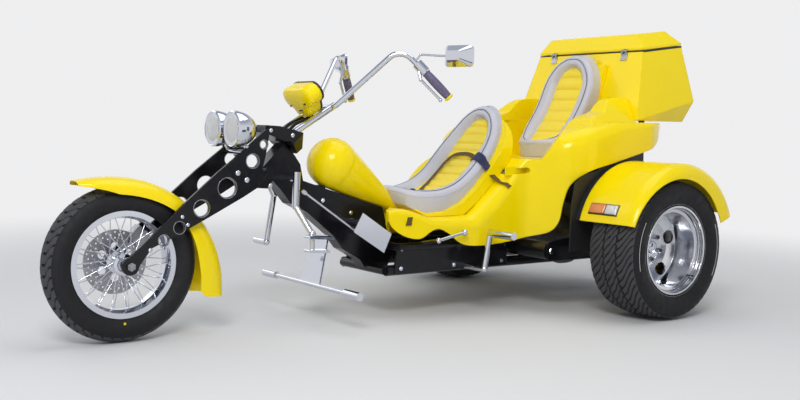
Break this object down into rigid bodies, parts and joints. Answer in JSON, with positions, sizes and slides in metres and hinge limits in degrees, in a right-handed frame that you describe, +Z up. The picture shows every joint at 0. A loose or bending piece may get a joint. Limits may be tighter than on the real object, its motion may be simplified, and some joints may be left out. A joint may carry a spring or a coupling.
{
  "type": "motorized trike",
  "caption": "Three-wheeled motorized trike: raked plate fork in front, tub body with two bucket seats, rear engine, wide rear wheels under round fenders, and a lidded luggage box.",
  "frame": {"origin": "on the ground, under the middle of the outer box", "axes": "+X to the vehicle's left, +Y to its rear, +Z up; the front wheel points to -Y"},
  "size_m": [1.756, 3.239, 1.3861],
  "materials": {
    "tyre": "matt road rubber",
    "wheel_chrome": "polished",
    "wheel_aluminium": "polished",
    "steel": "brushed",
    "chrome": "polished",
    "cast_metal": "as cast",
    "black_paint": "gloss",
    "black_panel": "matt",
    "black_plastic": "fine grained",
    "grip_rubber": "ribbed",
    "mirror_shell": "polished",
    "yellow_gloss": "gloss",
    "grey_vinyl": "soft sheen",
    "yellow_vinyl": "soft sheen",
    "lens_clear": "fluted",
    "lens_amber": "moulded"
  },
  "bodies": {
    "chassis": {"frame": "black_paint", "fuel_tank": "yellow_gloss", "body_tub": "yellow_gloss", "wheel_houses": "black_panel", "rear_fenders": "yellow_gloss", "fender_lamps": "lens_amber", "rear_axle": "cast_metal", "trailing_arms": "black_paint", "suspension_struts": "steel", "engine_block": "cast_metal", "fan_housing": "black_panel", "muffler": "chrome", "rider_seat_shell": "yellow_gloss", "rider_seat_bolster": "grey_vinyl", "rider_seat_panel": "yellow_vinyl", "passenger_seat_shell": "yellow_gloss", "passenger_seat_bolster": "grey_vinyl", "passenger_seat_panel": "yellow_vinyl", "luggage_box": "yellow_gloss", "box_hinges": "chrome", "foot_pedals": "chrome", "footrests": "chrome", "gear_linkage": "chrome"},
    "fork": {"fork_plates": "black_paint", "steering_yokes": "black_paint", "handlebar": "chrome", "risers": "chrome", "hand_grips": "grip_rubber", "bar_controls": "black_plastic", "mirrors": "mirror_shell", "instrument_pod": "black_plastic", "headlamps": "chrome", "headlamp_lenses": "lens_clear", "front_fender": "yellow_gloss", "brake_caliper": "steel", "front_axle": "steel"},
    "front_wheel": {"front_tyre": "tyre", "front_rim": "wheel_chrome", "front_brake_disc": "steel"},
    "rear_wheel_left": {"rear_tyre_left": "tyre", "rear_wheel_left": "wheel_aluminium"},
    "rear_wheel_right": {"rear_tyre_right": "tyre", "rear_wheel_right": "wheel_aluminium"},
    "box_lid": {"box_lid": "yellow_gloss", "lid_hinges": "chrome"}
  },
  "joints": [
    {"name": "steering", "type": "hinge", "parent": "chassis", "child": "fork", "pos_m": [0, -0.6365, 0.703], "axis": [0, 0.7071, 0.7071], "range_deg": [-30, 30]},
    {"name": "front_wheel_spin", "type": "hinge", "parent": "fork", "child": "front_wheel", "pos_m": [0, -1.3125, 0.307], "axis": [1, 0, 0], "continuous": true},
    {"name": "rear_left_spin", "type": "hinge", "parent": "chassis", "child": "rear_wheel_left", "pos_m": [0.7275, 0.9875, 0.323], "axis": [1, 0, 0], "continuous": true},
    {"name": "rear_right_spin", "type": "hinge", "parent": "chassis", "child": "rear_wheel_right", "pos_m": [-0.7275, 0.9875, 0.323], "axis": [1, 0, 0], "continuous": true},
    {"name": "box_lid_hinge", "type": "hinge", "parent": "chassis", "child": "box_lid", "pos_m": [0, 1.26558, 1.27195], "axis": [1, 0, 0], "range_deg": [0, 75]}
  ]
}
